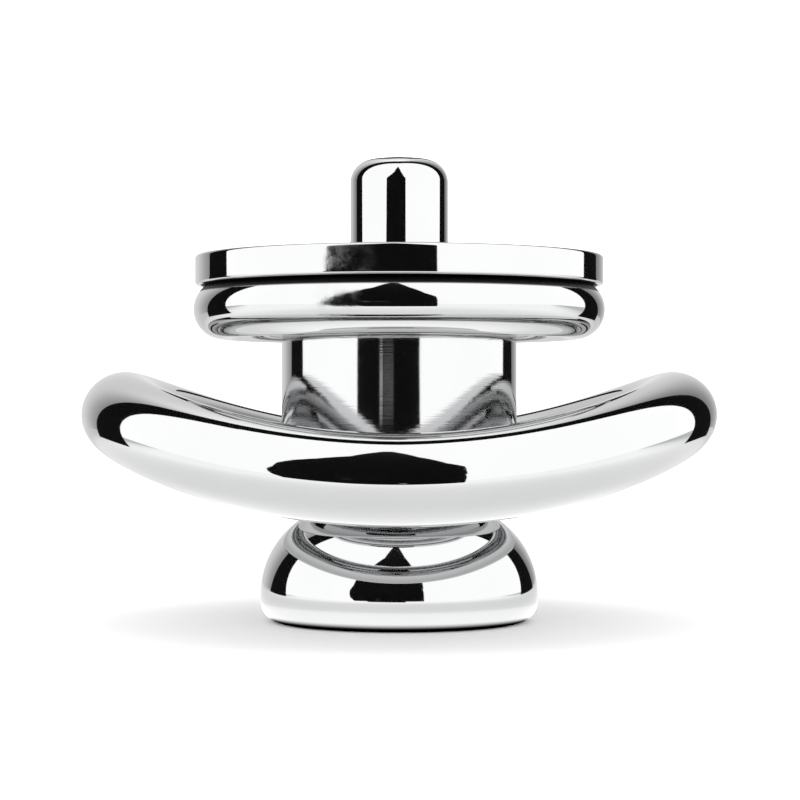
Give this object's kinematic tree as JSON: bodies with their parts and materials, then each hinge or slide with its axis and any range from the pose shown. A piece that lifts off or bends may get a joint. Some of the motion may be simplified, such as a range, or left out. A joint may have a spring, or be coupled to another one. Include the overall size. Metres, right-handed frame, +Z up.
{
  "type": "lockable ring and stem assembly",
  "caption": "Polished steel curved ring locked to a flanged stem that has a domed foot, a round cap plate and a round-ended lock housing",
  "frame": {"origin": "centre of the foot's flat bottom face", "axes": "+Z up along the stem, +Y towards the lock at the rear, the ring's raised sides at -X and +X"},
  "size_m": [0.061, 0.0639, 0.0477],
  "materials": {
    "polished_steel": "mirror-polished stainless steel",
    "turned_steel": "finely turned stainless steel",
    "fastener_steel": "plain machined steel",
    "lock_brass": "nickel-free machined brass"
  },
  "bodies": {
    "ring": {"curved_ring": "polished_steel", "ring_lug": "polished_steel", "lock_post": "turned_steel"},
    "stem": {"cap_plate": "polished_steel", "flange_ring": "polished_steel", "stem_tube": "polished_steel", "foot_bulb": "polished_steel", "tie_screw": "fastener_steel", "spring_washer": "fastener_steel", "lock_housing": "polished_steel", "housing_web": "polished_steel", "lock_shell": "turned_steel", "shell_pin": "fastener_steel"},
    "rotor": {"lock_rotor": "lock_brass", "lock_bar": "turned_steel", "bar_pin": "fastener_steel", "rotor_clip": "fastener_steel", "wafer_1": "lock_brass", "wafer_2": "lock_brass", "wafer_3": "lock_brass", "wafer_4": "lock_brass"}
  },
  "joints": [
    {"name": "stem_lift", "type": "slide", "parent": "ring", "child": "stem", "axis": [0, 0, 1], "range_m": [0, 0.022]},
    {"name": "lock_turn", "type": "hinge", "parent": "stem", "child": "rotor", "pos_m": [0, 0.0273, 0.04], "axis": [0, 0, 1], "range_deg": [0, 90]}
  ]
}
